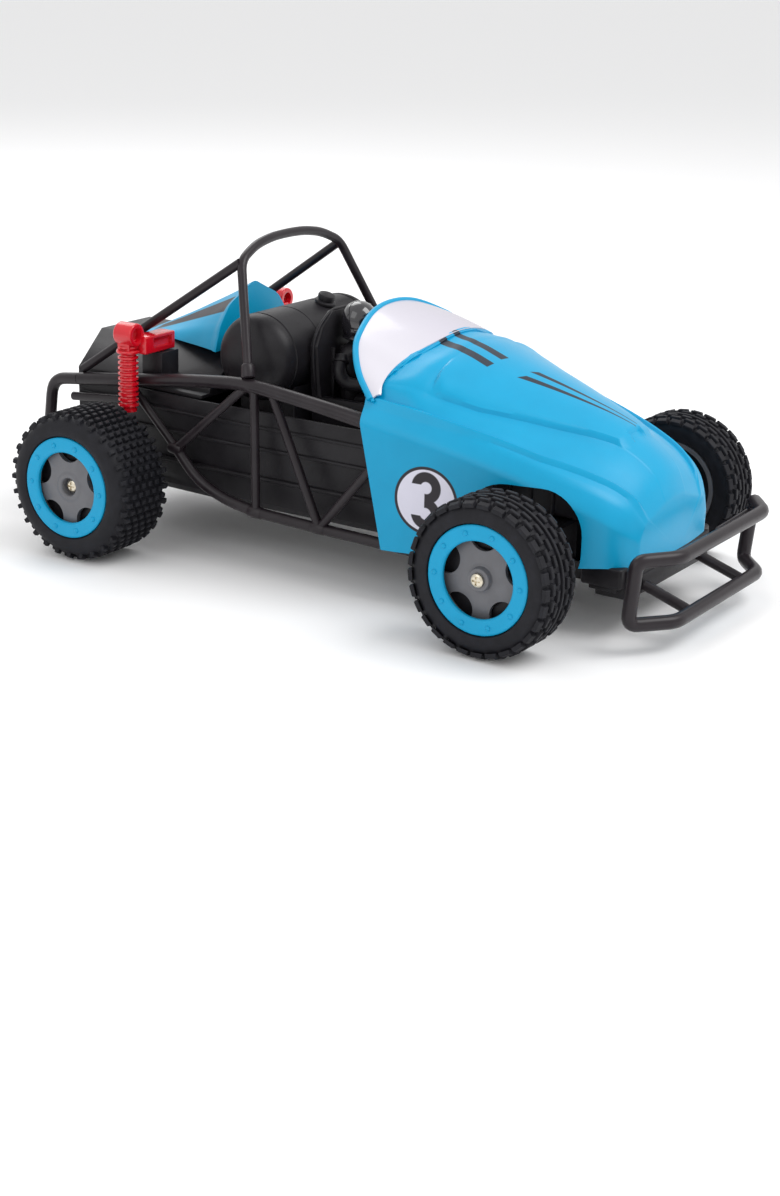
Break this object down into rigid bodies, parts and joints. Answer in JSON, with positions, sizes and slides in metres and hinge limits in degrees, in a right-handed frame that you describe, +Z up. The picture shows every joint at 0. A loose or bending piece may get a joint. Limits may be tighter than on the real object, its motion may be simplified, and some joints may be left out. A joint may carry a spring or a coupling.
{
  "type": "remote control car",
  "caption": "Radio-controlled toy buggy with an open tube frame, clip-on hood, steered front wheels and a geared rear axle.",
  "frame": {"origin": "on the ground, under the middle of the car's box", "axes": "+Z up, the front of the car faces -Y and its right side faces -X"},
  "size_m": [0.225, 0.3806, 0.1636],
  "materials": {
    "blue_plastic": "satin moulded",
    "black_plastic": "satin moulded",
    "frame_plastic": "satin moulded",
    "red_plastic": "glossy moulded",
    "grey_plastic": "satin moulded",
    "tyre_rubber": "matte",
    "screen_plastic": "pearly",
    "screw_steel": "zinc plated",
    "white_nylon": "natural nylon",
    "brass": "turned",
    "motor_steel": "plated",
    "battery_wrap": "shrink wrap",
    "board_green": "solder mask",
    "helmet_gloss": "high gloss"
  },
  "bodies": {
    "car": {"drive_motor": "motor_steel", "gearbox_case": "black_plastic", "gearbox_sump": "black_plastic", "chassis_tub": "black_plastic", "nose_tray": "black_plastic", "front_beam": "black_plastic", "steering_servo": "black_plastic", "battery_pack": "battery_wrap", "circuit_board": "board_green", "side_frame_right": "frame_plastic", "side_frame_left": "frame_plastic", "rear_loop": "frame_plastic", "roll_hoop": "frame_plastic", "hoop_brace_right": "frame_plastic", "hoop_brace_left": "frame_plastic", "front_bumper": "frame_plastic", "rear_deck": "black_plastic", "tail_fairing": "blue_plastic", "shock_right": "red_plastic", "shock_left": "red_plastic", "cockpit_floor": "black_plastic", "fuel_barrel": "black_plastic", "barrel_cap": "black_plastic", "driver_seat": "black_plastic", "driver_body": "black_plastic", "driver_helmet": "helmet_gloss", "cockpit_wheel": "black_plastic", "dashboard": "black_plastic", "hood_shell": "blue_plastic", "windscreen_rim": "blue_plastic", "windscreen": "screen_plastic"},
    "rear_axle": {"rear_axle": "motor_steel", "axle_gear": "white_nylon", "rear_tyre_right": "tyre_rubber", "rear_rim_right": "grey_plastic", "rear_bead_ring_right": "blue_plastic", "rear_wheel_screw_right": "screw_steel", "rear_tyre_left": "tyre_rubber", "rear_rim_left": "grey_plastic", "rear_bead_ring_left": "blue_plastic", "rear_wheel_screw_left": "screw_steel"},
    "motor_pinion": {"motor_pinion": "brass"},
    "battery_door": {"battery_door": "black_plastic", "battery_door_screw": "screw_steel"},
    "power_switch": {"power_switch": "black_plastic"},
    "tie_rod": {"tie_rod": "black_plastic"},
    "servo_arm": {"servo_arm": "white_nylon"},
    "knuckle_right": {"steering_knuckle_right": "black_plastic", "front_wheel_screw_right": "screw_steel"},
    "knuckle_left": {"steering_knuckle_left": "black_plastic", "front_wheel_screw_left": "screw_steel"},
    "front_wheel_right": {"front_tyre_right": "tyre_rubber", "front_rim_right": "grey_plastic", "front_bead_ring_right": "blue_plastic"},
    "front_wheel_left": {"front_tyre_left": "tyre_rubber", "front_rim_left": "grey_plastic", "front_bead_ring_left": "blue_plastic"}
  },
  "joints": [
    {"name": "rear_axle_spin", "type": "hinge", "parent": "car", "child": "rear_axle", "pos_m": [0, 0.12487, 0.0386], "axis": [1, 0, 0], "continuous": true},
    {"name": "pinion_spin", "type": "hinge", "parent": "car", "child": "motor_pinion", "pos_m": [0.009, 0.11661, 0.04778], "axis": [1, 0, 0], "continuous": true},
    {"name": "battery_door_hinge", "type": "hinge", "parent": "car", "child": "battery_door", "pos_m": [0, 0.00347, 0.0271], "axis": [-1, 0, 0], "range_deg": [0, 75]},
    {"name": "power_switch_slide", "type": "slide", "parent": "car", "child": "power_switch", "axis": [0, 1, 0], "range_m": [0, 0.006]},
    {"name": "steer_left", "type": "hinge", "parent": "car", "child": "knuckle_left", "pos_m": [0.076, -0.11733, 0.0378], "axis": [0, 0, 1], "range_deg": [-22, 22]},
    {"name": "steer_right", "type": "hinge", "parent": "car", "child": "knuckle_right", "pos_m": [-0.076, -0.11733, 0.0378], "axis": [0, 0, 1], "range_deg": [-22, 22]},
    {"name": "tie_rod_slide", "type": "slide", "parent": "car", "child": "tie_rod", "axis": [1, 0, 0], "range_m": [-0.0062, 0.0062]},
    {"name": "servo_arm_swing", "type": "hinge", "parent": "car", "child": "servo_arm", "pos_m": [0, -0.08533, 0.038], "axis": [0, 0, 1], "range_deg": [-22, 22]},
    {"name": "front_wheel_spin_left", "type": "hinge", "parent": "knuckle_left", "child": "front_wheel_left", "pos_m": [0.1, -0.11733, 0.0378], "axis": [1, 0, 0], "continuous": true},
    {"name": "front_wheel_spin_right", "type": "hinge", "parent": "knuckle_right", "child": "front_wheel_right", "pos_m": [-0.1, -0.11733, 0.0378], "axis": [1, 0, 0], "continuous": true}
  ],
  "couplings": [
    {"joint": "pinion_spin", "follows": "rear_axle_spin", "ratio": -3},
    {"joint": "steer_right", "follows": "steer_left", "ratio": 1},
    {"joint": "tie_rod_slide", "follows": "steer_left", "m_per_rad": -0.016},
    {"joint": "servo_arm_swing", "follows": "steer_left", "ratio": -1}
  ]
}
